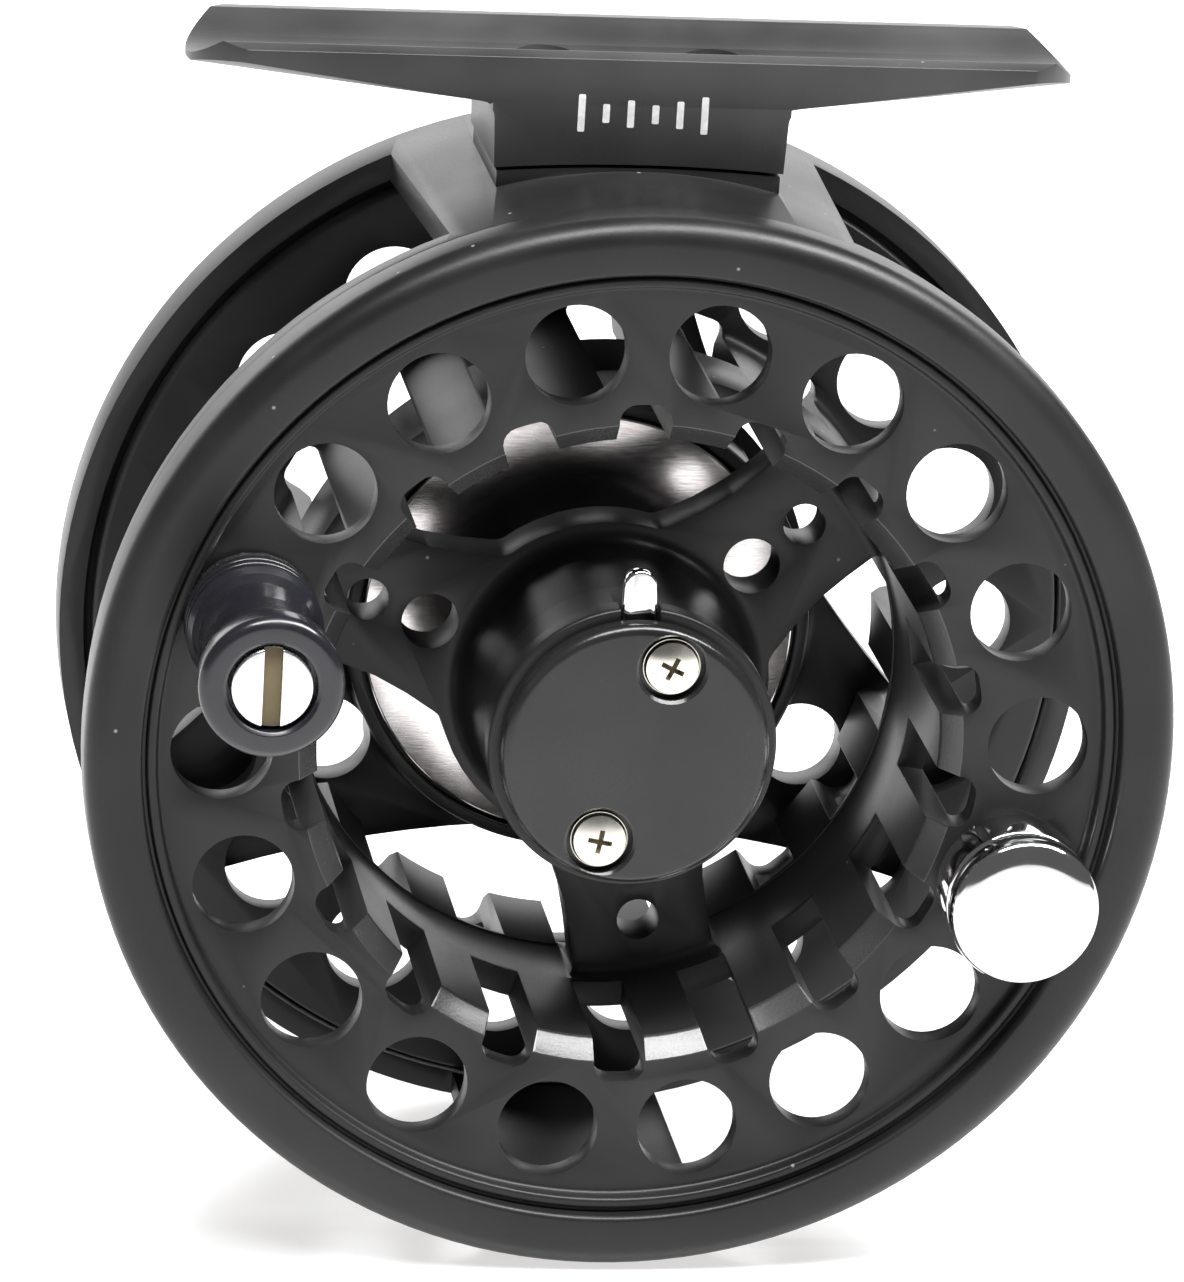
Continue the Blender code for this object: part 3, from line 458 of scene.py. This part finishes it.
# ---- the frame and its foot ------------------------------------------------------------------
def frame_profile():
    """(radius, depth, rounding) of front ring, side wall, back plate, drag cup and rear boss."""
    return softened([
        (35.5, 4.2, 0.25), (37.2, 4.2, 0.45), (37.2, PLATE[1], 1.0), (18.0, PLATE[1], 0.4),
        (17.5, 38.6, 0.6), (2.7, 38.6, 0), (2.7, 35.2, 0), (15.0, 35.2, 0), (15.0, 30.65, 0),
        (15.85, 30.65, 0), (15.85, 29.7, 0.15), (16.8, 29.7, 0.25), (16.8, PLATE[0], 1.2),
        (35.5, PLATE[0], 0.5),
    ], 5)


def plate_opening(angle):
    """Opening between two arms, bounded by a hollow side and by the back ring."""
    side_radius = 80.0
    reach = 16.2 + side_radius
    opening = 34.0
    cosine = (reach**2 + side_radius**2 - opening**2) / (2 * reach * side_radius)
    half = atan2(sqrt(1.0 - cosine * cosine), cosine) * 180.0 / pi
    x, z = polar(side_radius, 180.0 - half)
    corner = atan2(z, reach + x) * 180.0 / pi
    side = arc((reach, 0.0), side_radius, 180.0 - half, 180.0 + half, 20)
    ring = arc((0.0, 0.0), opening, -corner, corner, 40)
    outline = [(x, z, 1.6 if k in (0, 20) else 0.0) for k, (x, z) in enumerate(side + ring[1:-1])]
    turn = Matrix.Rotation(radians(angle), 2)
    return [tuple(turn @ Vector(point)) for point in softened(outline, 6)]


def side_opening(side, top_half):
    outline = [(top_half, 45.0), (45.0, 45.0), (45.0, -45.0), (7.2, -45.0), (7.2, -30.0),
               (20.0, -25.0), (20.0, 25.0), (top_half, 30.0)]
    return [(side * x, z) for x, z in outline]


def shallow_arch(half, middle, sides, steps=12):
    points = []
    for k in range(-steps, steps + 1):
        t = k / steps
        points.append((half * t, middle - (middle - sides) * t * t))
    return points


def build_frame(look, edge_wear_and_highlight_look):
    bm = bmesh.new()
    add_turned(bm, frame_profile(), ROUND)
    casting = new_piece("frame_casting", bm)
    pad = bmesh.new()
    top = shallow_arch(9.8, 37.45, 37.05)
    start = FOOT_DEPTH - FOOT_WIDTH / 2.0 + 0.1
    add_prism(pad, top + [(9.8, 35.9), (-9.8, 35.9)], start, start + FOOT_WIDTH - 0.2)
    carve(casting, pad, "UNION")
    cuts = bmesh.new()
    for side in (-1, 1):
        add_prism(cuts, side_opening(side, 13.8), 6.2, 31.0, side_opening(side, 15.1))
    for k in range(3):
        arm = 90.0 + 120.0 * k
        add_prism(cuts, plate_opening(arm + 60.0), PLATE[0] - 3.0, PLATE[1] + 1.0)
        x, z = polar(20.0, arm)
        add_drill(cuts, 3.1, PLATE[0] - 3.0, 40.0, x=x, z=z)
    carve(casting, cuts)
    ease_edges(casting, 0.2, looks=(look, edge_wear_and_highlight_look))
    return finish_piece(casting, look, "frame", ["frame"])


def wing_chamfer_outline(x, way):
    """Section of the block that slants the underside of a wing, from outside its long edge inwards."""
    rise, fall = WING_SLOPES
    outside, inside = -1.0, 6.0
    corners = []
    for across in (outside, inside):
        depth = FOOT_DEPTH + way * (FOOT_WIDTH / 2.0 - across)
        corners.append((depth, WING_ROOT[1] + rise * (x - WING_ROOT[0]) + fall * across))
    (outer, outer_top), (inner, inner_top) = corners
    return [(outer, 39.0), (outer, outer_top), (inner, inner_top), (inner, 39.0)]


def build_foot(look, edge_wear_and_highlight_look):
    """The foot's saddle section, cut to its front view and to its plan."""
    half_width = FOOT_WIDTH / 2.0
    near = FOOT_DEPTH - half_width
    far = FOOT_DEPTH + half_width
    trough = 9.0
    center = 43.5 + trough
    lip = 45.3
    half_turn = asin(sqrt(trough**2 - (center - lip)**2) / trough) * 180.0 / pi
    bowl = arc((FOOT_DEPTH, center), trough, -90.0 - half_turn, -90.0 + half_turn, 36)
    section = [(near, 30.0, 0), (near, lip - 0.3, 0.12)]
    section += [(y, z, 0.35 if k in (0, 36) else 0) for k, (y, z) in enumerate(bowl)]
    section += [(far, lip, 0.5), (far, 30.0, 0)]
    bm = bmesh.new()
    swing = Matrix(((0, 1, 0, 0), (1, 0, 0, 0), (0, 0, 1, 0), (0, 0, 0, 1)))
    add_prism(bm, softened(section, 6), -32.0, 32.0, place=swing)
    foot = new_piece("foot_casting", bm)

    arch = shallow_arch(10.0, 37.7, 37.3)
    wing = [(*WING_ROOT, 1.1), (*WING_TIP, 0), (WING_TIP[0], 50.0, 0)]
    front = [(x, z, 0) for x, z in arch] + wing + [(-x, z, r) for x, z, r in reversed(wing)]
    view = bmesh.new()
    add_prism(view, softened(front, 6), 0.0, 60.0)
    carve(foot, view, "INTERSECT")

    chamfers = bmesh.new()
    root, tip = WING_ROOT[0] + 0.1, WING_TIP[0] + 2.0
    for side in (-1, 1):
        for way in (-1, 1):
            outlines = [wing_chamfer_outline(x, way) for x in (root, tip)]
            add_prism(chamfers, outlines[0], side * root, side * tip, outlines[1], place=swing)
    carve(foot, chamfers)

    bow = 3.6
    radius = (half_width**2 + bow**2) / (2.0 * bow)
    sweep = asin(half_width / radius) * 180.0 / pi
    end = arc((WING_TIP[0] - radius, 0.0), radius, -sweep, sweep, 24)
    plan = bmesh.new()
    place = Matrix.Translation((0.0, FOOT_DEPTH, 0.0)) @ UPRIGHT
    outline = [(x, z, 0.8 if k in (0, 24) else 0) for k, (x, z) in enumerate(end)]
    outline += [(-x, -z, r) for x, z, r in outline]
    add_prism(plan, softened(outline, 5), 30.0, 60.0, place=place)
    carve(foot, plan, "INTERSECT")

    bores = bmesh.new()
    for side in (-1, 1):
        place = Matrix.Translation((side * FOOT_SCREW_X, FOOT_DEPTH, 0.0)) @ UPRIGHT
        profile = [(0, 30.0), (1.7, 30.0), (1.7, 40.7), (2.6, 41.6), (2.6, 48.0), (0, 48.0)]
        add_turned(bores, profile, SMALL, place)
    carve(foot, bores)
    ease_edges(foot, 0.22, 3, looks=(look, edge_wear_and_highlight_look))
    return finish_piece(foot, look, "frame", ["reel_foot"])


def build_foot_marks(look):
    """A plain printed scale on the post: two end bars and short ticks between them."""
    near = FOOT_DEPTH - FOOT_WIDTH / 2.0
    bm = bmesh.new()
    for x, height in ((-4.2, 2.6), (-2.5, 1.3), (-0.8, 1.9), (0.9, 1.3), (2.6, 1.9), (4.3, 2.6)):
        low = 41.25 - height / 2.0
        bar = softened([(x - 0.24, low, 0.1), (x + 0.24, low, 0.1), (x + 0.24, low + height, 0.1),
                        (x - 0.24, low + height, 0.1)], 3)
        add_prism(bm, bar, near - 0.03, near + 0.1)
    return finish_piece(new_piece("foot_marks", bm), look, "frame")


# ---- screws ----------------------------------------------------------------------------------
def cross_outline(reach, width):
    w = width / 2.0
    return [(w, w), (reach, w), (reach, -w), (w, -w), (w, -reach), (-w, -reach),
            (-w, -w), (-reach, -w), (-reach, w), (-w, w), (-w, reach), (w, reach)]


def add_cross_tool(bm, reach, width, top, bottom, place):
    add_prism(bm, cross_outline(reach, width), top, bottom, cross_outline(reach * 0.55, width * 0.7), place)


def slot_tool(half_length, half_width, start, end):
    bm = bmesh.new()
    outline = [(-half_width, -half_length), (half_width, -half_length), (half_width, half_length),
               (-half_width, half_length)]
    add_prism(bm, outline, start, end)
    return bm


def build_foot_screws(look):
    for name, side in (("left", -1), ("right", 1)):
        place = Matrix.Translation((side * FOOT_SCREW_X, FOOT_DEPTH, 0.0)) @ UPRIGHT
        profile = softened([(0, 36.0, 0), (1.3, 36.0, 0), (1.3, 41.0, 0), (2.3, 41.9, 0.1), (2.3, 42.6, 0.2),
                            (0, 42.75, 0)], 4)
        screw = turned_piece(f"foot_screw_head_{name}", profile, SMALL, place)
        tool = bmesh.new()
        turn = place @ Matrix.Rotation(radians(30.0 * side), 4, "Y")
        add_prism(tool, cross_outline(0.8, 0.42), 41.6, 43.5, cross_outline(1.4, 0.6), turn)
        carve(screw, tool)
        finish_piece(screw, look, "frame", [f"foot_screw_{name}"])


def build_cover(look, metal, painted_shade):
    """Round cap over the latch, and the two cross-head screws that hold it."""
    profile = softened([(0, -0.6, 0), (9.25, -0.6, 0.95), (9.25, 0.95, 0.1), (0, 0.95, 0)], 7)
    cover = turned_piece("cover_cap", profile, 96)
    cuts = bmesh.new()
    for angle in SCREW_ANGLES.values():
        x, z = polar(SCREW_CIRCLE, angle)
        profile = [(0, -2.0), (2.6, -2.0), (2.6, -0.7), (2.3, -0.4), (2.3, 0.4), (1.0, 0.4), (1.0, 2.0),
                   (0, 2.0)]
        add_turned(cuts, profile, SMALL, Matrix.Translation((x, 0.0, z)))
    carve(cover, cuts)
    finish_piece(cover, look, "spool", ["latch_cover"])

    for (name, angle), twist in zip(SCREW_ANGLES.items(), (25.0, 10.0)):
        x, z = polar(SCREW_CIRCLE, angle)
        place = Matrix.Translation((x, 0.0, z))
        dome = arc((0.0, 4.35), 5.0, -90.0, -69.0, 8)
        shank = [(1.98, -0.1, 0.15), (1.98, 0.25, 0.1), (0.8, 0.25, 0), (0.8, 7.6, 0), (0, 7.6, 0)]
        profile = dome + softened(shank, 3)
        screw = turned_piece(f"cover_screw_head_{name}", profile, SMALL, place)
        tool = bmesh.new()
        add_cross_tool(tool, 1.15, 0.42, -1.5, 0.05, place @ Matrix.Rotation(radians(twist), 4, "Y"))
        carve(screw, tool)
        finish_piece(screw, metal, "spool", [f"cover_screw_{name}"])
        # The cross recess gets the dark recess look: painted shade.
        repaint_faces(screw, painted_shade, inside_bore(x, z, 1.25, -0.45, 0.2))


def build_latch(metal):
    outline = [(-3.8, -4.0), (3.8, -4.0), (3.8, 4.3), (1.15, 4.3)]
    outline += arc((0.0, 11.2), 1.15, 0.0, 180.0, 16)
    outline += [(-1.15, 4.3), (-3.8, 4.3)]
    bm = bmesh.new()
    add_prism(bm, outline, 1.95, 3.15)
    latch = new_piece("latch_tab", bm)
    hole = bmesh.new()
    add_drill(hole, 2.8, 0.0, 5.0, z=0.75)
    carve(latch, hole)
    ease_edges(latch, 0.2, 3)
    return finish_piece(latch, metal, "release_latch", ["release_latch"])


def build_latch_spring(metal):
    """The latch's small return coil."""
    low, high, radius, wire = -7.8, -4.3, 0.75, 0.15
    turns, per_turn, around = 4, 20, 8
    count = turns * per_turn
    bm = bmesh.new()
    rings = []
    for k in range(count + 1):
        angle = 2.0 * pi * k / per_turn
        height = low + wire + (high - low - 2.0 * wire) * k / count
        ring = []
        for j in range(around):
            turn = 2.0 * pi * j / around
            reach = radius + wire * cos(turn)
            place = (1.3 + reach * cos(angle), 2.5 + reach * sin(angle), height + wire * sin(turn))
            ring.append(bm.verts.new(place))
        rings.append(ring)
    for ring, after in zip(rings, rings[1:]):
        for j in range(around):
            n = (j + 1) % around
            bm.faces.new([ring[j], ring[n], after[n], after[j]])
    bm.faces.new(rings[0])
    bm.faces.new(list(reversed(rings[-1])))
    coil = finish_piece(new_piece("latch_spring_coil", bm), metal, "spool", ["latch_spring"])
    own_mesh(coil)


# ---- handle and counterweight ----------------------------------------------------------------
def build_handle(black, steel, painted_shade):
    x, z = polar(HOLE_CIRCLE, HANDLE_ANGLE)
    place = Matrix.Translation((x, 0.0, z))
    ribs = []
    for k in range(3):
        ribs += [(4.62, -2.9 + 0.95 * k, 0.2), (4.62, -2.35 + 0.95 * k, 0.2), (4.2, -2.2 + 0.95 * k, 0.05),
                 (4.2, -2.1 + 0.95 * k, 0.05)]
    knob = [(2.3, -13.6, 0), (3.0, -13.6, 0), (3.0, -15.3, 0.15), (3.25, -15.5, 0.15), (4.85, -15.5, 0.9),
            (4.8, -13.2, 1.5), (3.9, -10.0, 3.0), (3.75, -7.0, 3.0), (3.95, -4.6, 1.5), (4.3, -3.5, 0.5)]
    knob += ribs[:-2] + [(4.5, -0.2, 0.2), (2.3, -0.2, 0)]
    grip = turned_piece("handle_grip", softened(knob, 6), 96, place)
    finish_piece(grip, black, "handle_knob", ["handle_knob"])

    profile = softened([(0, -15.38, 0), (2.75, -15.3, 0.2), (2.75, -14.1, 0), (1.3, -14.1, 0),
                        (1.3, 5.2, 0.2), (0, 5.2, 0)], 4)
    screw = turned_piece("handle_screw_head", profile, SMALL, place)
    tool = slot_tool(4.0, 0.6, -16.0, -14.8)
    tool.transform(place)
    carve(screw, tool)
    ease_edges(screw, 0.06, 2)
    finish_piece(screw, steel, "spool", ["handle_screw"])
    # The slot gets the dark recess look: painted shade.
    repaint_faces(screw, painted_shade, inside_bore(x, z, 2.6, -15.22, -14.7))


def build_counterweight(chrome):
    x, z = polar(HOLE_CIRCLE, WEIGHT_ANGLE)
    dome = arc((0.0, 17.6), 24.5, -90.0, -80.3, 8)
    groove = [(5.1, -4.4, 0.25), (4.65, -4.25, 0.1), (4.65, -3.95, 0.1), (5.1, -3.8, 0.25)]
    corners = [(r, y, 0) for r, y in dome] + [(5.0, -6.2, 0.6), (5.2, -5.6, 0.4)] + groove
    corners += [(5.1, -0.1, 0.2), (4.5, 0.15, 0.1), (4.5, 0.9, 0.1), (1.3, 0.9, 0), (1.3, -1.6, 0),
                (0, -1.6, 0)]
    body = turned_piece("counterweight_body", softened(corners, 5), 96, Matrix.Translation((x, 0.0, z)))
    finish_piece(body, chrome, "spool", ["counterweight"])


# ---- drag parts that show --------------------------------------------------------------------
def build_drag_disc(metal):
    profile = softened([(6.9, 29.85, 0.1), (15.65, 29.8, 0.25), (15.65, 30.45, 0.1), (6.9, 30.45, 0.1)], 4)
    disc = turned_piece("drag_cover_plate", profile, ROUND)
    finish_piece(disc, metal, "frame", ["drag_cover_disc"])


def build_knob(look, steel):
    corners = [(13.3, 39.0, 0.2), (14.4, 39.2, 0.4), (14.5, 45.4, 1.0), (13.0, 46.8, 0.8), (6.2, 46.8, 0.4),
               (5.2, 46.2, 0.3), (1.7, 46.2, 0.1), (1.7, 44.9, 0), (11.9, 44.9, 0.3), (11.9, 39.0, 0.2)]
    knob = turned_piece("drag_knob_grip", softened(corners, 6), ROUND)
    cuts = bmesh.new()
    for k in range(10):
        x, z = polar(15.9, 36.0 * k)
        add_drill(cuts, 2.5, 37.0, 49.0, x=x, z=z)
    carve(knob, cuts)
    ease_edges(knob, 0.25, 3)
    finish_piece(knob, look, "drag_knob", ["drag_knob"])

    profile = softened([(0, 44.8, 0), (1.4, 44.8, 0), (1.4, 46.4, 0), (3.4, 46.4, 0.1), (3.4, 47.3, 0.4),
                        (0, 47.7, 0)], 5)
    screw = turned_piece("knob_screw_head", profile, SMALL)
    carve(screw, slot_tool(4.0, 0.4, 47.1, 48.5))
    ease_edges(screw, 0.06, 2)
    finish_piece(screw, steel, "drag_knob", ["knob_screw"])


# ---- the studio ------------------------------------------------------------------------------
def build_floor():
    """Pale, slightly glossy table under the rim."""
    bm = bmesh.new()
    bmesh.ops.create_grid(bm, x_segments=1, y_segments=1, size=6.0)
    bm.transform(Matrix.Translation((0.0, 0.0, AXIS.z - 0.0377)))
    mesh = bpy.data.meshes.new("floor")
    bm.to_mesh(mesh)
    bm.free()
    floor = bpy.data.objects.new("floor", mesh)
    bpy.context.scene.collection.objects.link(floor)
    look = Finish("floor_white", (0.55, 0.55, 0.55), 0.22, 0.0)
    look.shader.inputs["Emission Color"].default_value = (1.0, 0.985, 0.98, 1.0)
    look.shader.inputs["Emission Strength"].default_value = 0.65
    mesh.materials.append(look.material)


def add_area_light(name, place, size, power, aim):
    light = bpy.data.lights.new(name, "AREA")
    light.shape = "RECTANGLE"
    light.size, light.size_y = size
    light.energy = power
    lamp = bpy.data.objects.new(name, light)
    lamp.location = place
    lamp.rotation_euler = (Vector(aim) - Vector(place)).to_track_quat("-Z", "Y").to_euler()
    bpy.context.scene.collection.objects.link(lamp)


def build_lights():
    world = bpy.data.worlds.new("studio")
    world.use_nodes = True
    world.node_tree.nodes["Background"].inputs["Color"].default_value = (1.0, 1.0, 1.0, 1.0)
    world.node_tree.nodes["Background"].inputs["Strength"].default_value = 0.10
    bpy.context.scene.world = world
    middle = tuple(AXIS)
    add_area_light("backdrop", (0.0, 1.3, 0.45), (2.6, 0.9), 17.0, (0.0, 0.0, 0.1))
    add_area_light("overhead", (0.10, -0.30, 0.80), (0.9, 0.25), 17.0, middle)
    add_area_light("right", (0.50, -0.08, 0.60), (0.3, 0.3), 6.0, middle)


def build_camera():
    """Long lens from the left and above, rolled a little, as the reel was photographed."""
    azimuth, elevation, roll, distance = radians(-9.007), radians(17.844), radians(3.42), 0.5
    back = Vector((sin(azimuth) * cos(elevation), -cos(azimuth) * cos(elevation), sin(elevation)))
    place = AXIS + back * distance
    target = AXIS + Vector((-0.003438, 0.0, 0.007955))
    backward = (place - target).normalized()
    right = Vector((0.0, 0.0, 1.0)).cross(backward).normalized()
    up = backward.cross(right)
    rolled_right = right * cos(roll) + up * sin(roll)
    rolled_up = up * cos(roll) - right * sin(roll)
    data = bpy.data.cameras.new("camera")
    data.sensor_fit = "HORIZONTAL"
    data.sensor_width = 36.0
    data.lens = 223.44
    data.clip_start = 0.01
    camera = bpy.data.objects.new("camera", data)
    turn = Matrix((rolled_right, rolled_up, backward)).transposed()
    camera.matrix_world = Matrix.Translation(place) @ turn.to_4x4()
    bpy.context.scene.collection.objects.link(camera)
    bpy.context.scene.camera = camera


def repaint_hidden_parts(steel, brass, friction):
    """The small parts that keep their CAD shape get the finished materials."""
    looks = {"brass": brass, "friction": friction}
    for part in frame["record"]["subparts"]:
        node = frame["nodes"][part["node"]]
        if not node.hide_render:
            node.data.materials.clear()
            node.data.materials.append(looks.get(part["material_slot"], steel))


def main():
    bpy.context.scene.view_settings.view_transform = "Standard"
    frame_black = anodised("frame_anodised", (0.012, 0.012, 0.012), 0.38, 0.3, 0.40)
    foot_black = anodised("foot_anodised", (0.032, 0.032, 0.032), 0.38, 0.5, 0.45)
    spool_black = anodised("spool_anodised", (0.013, 0.013, 0.013), 0.38, 0.35, 0.33)
    # Lighter, glossier look for the rounded edges: partly rubbed anodising, partly a painted highlight.
    edge_wear_and_highlight = anodised("worn_edge_and_painted_highlight", (0.030, 0.030, 0.030), 0.24, 0.0, 0.65)
    # Brownish dark look for the cross recesses and the handle screw's slot: painted shade in the recesses.
    painted_shade = anodised("recess_painted_shade", (0.15, 0.12, 0.07), 0.6, 0.0, 0.2)
    cover_black = anodised("cover_anodised", (0.016, 0.016, 0.016), 0.24, 0.15, 0.42)
    gloss_black = polished("handle_gloss", (0.012, 0.012, 0.016), 0.16, 0.0, 0.25)
    chrome = polished("chrome_mirror", (0.88, 0.88, 0.89), 0.05, 1.0)
    nickel = polished("nickel_plate", (0.95, 0.92, 0.84), 0.16, 1.0)
    steel = brushed("brushed_steel", (0.86, 0.86, 0.87), 0.24, (1.0, 1.0, 14.0))
    disc_metal = brushed("drag_disc_metal", (0.95, 0.90, 0.89), 0.19, (1.0, 1.0, 8.0), 0.22)
    brass = brushed("turned_brass", (0.70, 0.50, 0.22), 0.35, (1.0, 10.0, 1.0))
    friction = anodised("drag_washer", (0.07, 0.06, 0.05), 0.7, 0.0)
    mark_white = paint("mark_paint", (0.82, 0.82, 0.82))

    build_frame(frame_black, edge_wear_and_highlight)
    build_foot(foot_black, edge_wear_and_highlight)
    build_foot_marks(mark_white)
    build_foot_screws(steel)
    build_spool(spool_black, edge_wear_and_highlight)
    build_cover(cover_black, nickel, painted_shade)
    build_latch(chrome)
    build_latch_spring(steel)
    build_handle(gloss_black, steel, painted_shade)
    build_counterweight(chrome)
    build_drag_disc(disc_metal)
    build_knob(frame_black, steel)
    repaint_hidden_parts(steel, brass, friction)
    build_floor()
    build_lights()
    build_camera()


main()
